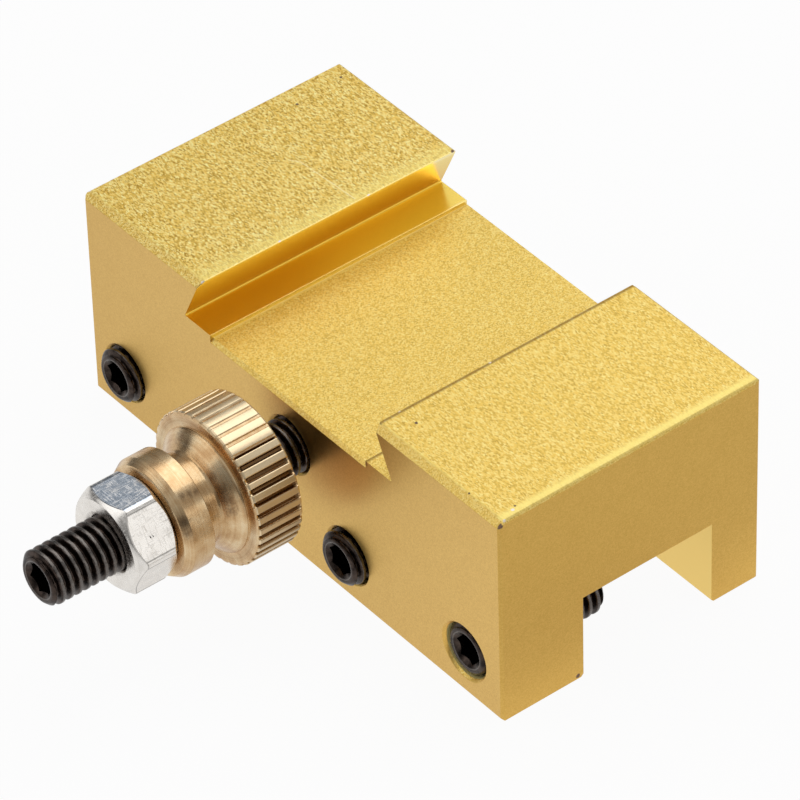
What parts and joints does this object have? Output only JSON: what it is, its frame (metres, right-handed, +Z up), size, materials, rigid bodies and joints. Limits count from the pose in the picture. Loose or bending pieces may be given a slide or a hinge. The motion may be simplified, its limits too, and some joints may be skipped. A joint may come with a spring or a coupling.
{
  "type": "quick change tool holder",
  "caption": "Lathe tool holder: anodised aluminium block with a dovetail groove and a tool slot, clamp screws, and a stud with a knurled brass height nut and a hexagon lock nut.",
  "frame": {"origin": "middle of the dovetail groove's floor, on the block's centre lines", "axes": "+X across the groove, +Y along the groove from the height stud's side to the back, +Z up out of the groove"},
  "size_m": [0.064, 0.062, 0.025],
  "materials": {
    "gold_anodised_aluminium": "fine blasted and anodised gold, with bright machined edges",
    "turned_brass": "turned and knurled, bright",
    "zinc_plated_steel": "bright zinc plate with light scratches",
    "black_oxide_steel": "satin black oxide"
  },
  "bodies": {
    "holder": {"holder_body": "gold_anodised_aluminium", "height_stud": "black_oxide_steel"},
    "thumb": {"thumb_nut": "turned_brass"},
    "lock": {"lock_nut": "zinc_plated_steel"},
    "clamp_1": {"clamp_screw_1": "black_oxide_steel"},
    "clamp_2": {"clamp_screw_2": "black_oxide_steel"},
    "clamp_3": {"clamp_screw_3": "black_oxide_steel"},
    "clamp_4": {"clamp_screw_4": "black_oxide_steel"}
  },
  "joints": [
    {"name": "thumb_nut_travel", "type": "slide", "parent": "holder", "child": "thumb", "axis": [0, 1, 0], "range_m": [-0.004, 0.0043]},
    {"name": "lock_nut_travel", "type": "slide", "parent": "thumb", "child": "lock", "axis": [0, 1, 0], "range_m": [-0.004, 0]},
    {"name": "clamp_screw_1_travel", "type": "slide", "parent": "holder", "child": "clamp_1", "axis": [0, 1, 0], "range_m": [-0.0038, 0.0062]},
    {"name": "clamp_screw_2_travel", "type": "slide", "parent": "holder", "child": "clamp_2", "axis": [0, 1, 0], "range_m": [-0.0038, 0.0062]},
    {"name": "clamp_screw_3_travel", "type": "slide", "parent": "holder", "child": "clamp_3", "axis": [0, 1, 0], "range_m": [-0.0038, 0.0062]},
    {"name": "clamp_screw_4_travel", "type": "slide", "parent": "holder", "child": "clamp_4", "axis": [0, 1, 0], "range_m": [-0.0052, 0.0048]}
  ]
}
